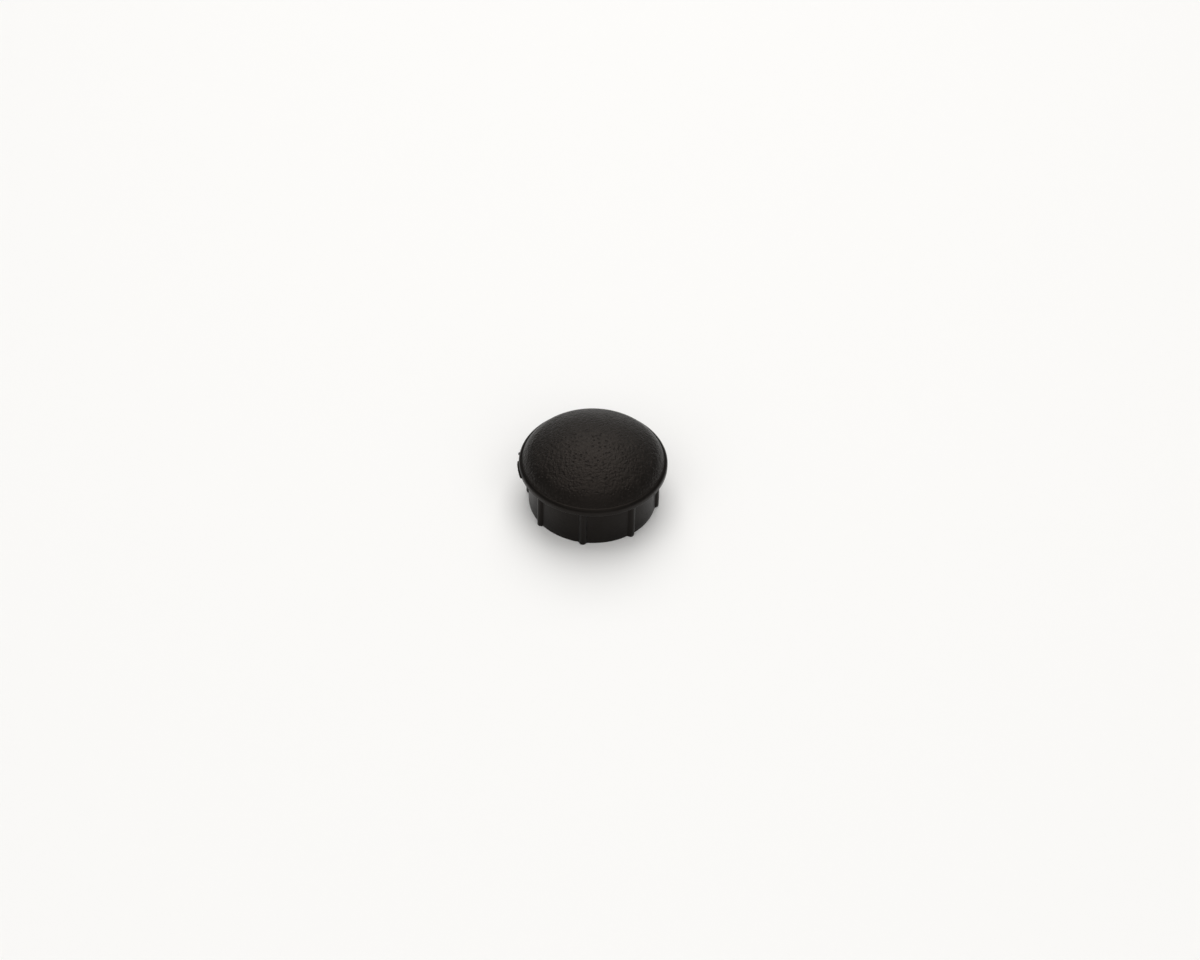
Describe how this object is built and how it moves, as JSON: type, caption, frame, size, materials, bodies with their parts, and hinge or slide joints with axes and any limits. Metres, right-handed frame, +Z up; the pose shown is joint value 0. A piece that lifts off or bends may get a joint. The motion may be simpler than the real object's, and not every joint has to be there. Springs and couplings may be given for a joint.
{
  "type": "hole plug",
  "caption": "Push-in domed hole plug: a mushroom head with a rounded rim on an open ribbed skirt, moulded in one piece.",
  "frame": {"origin": "centre of the skirt's open end, on the plane it stands on", "axes": "+Z up along the plug's axis, from the skirt's open end towards the dome; -X points to the side with the gate mark on the rim"},
  "size_m": [0.0303, 0.03, 0.0165],
  "materials": {
    "moulding": "black, fine spark-eroded grain on the dome, smoother skirt"
  },
  "bodies": {
    "root": {"hole_plug": "moulding"}
  },
  "joints": []
}
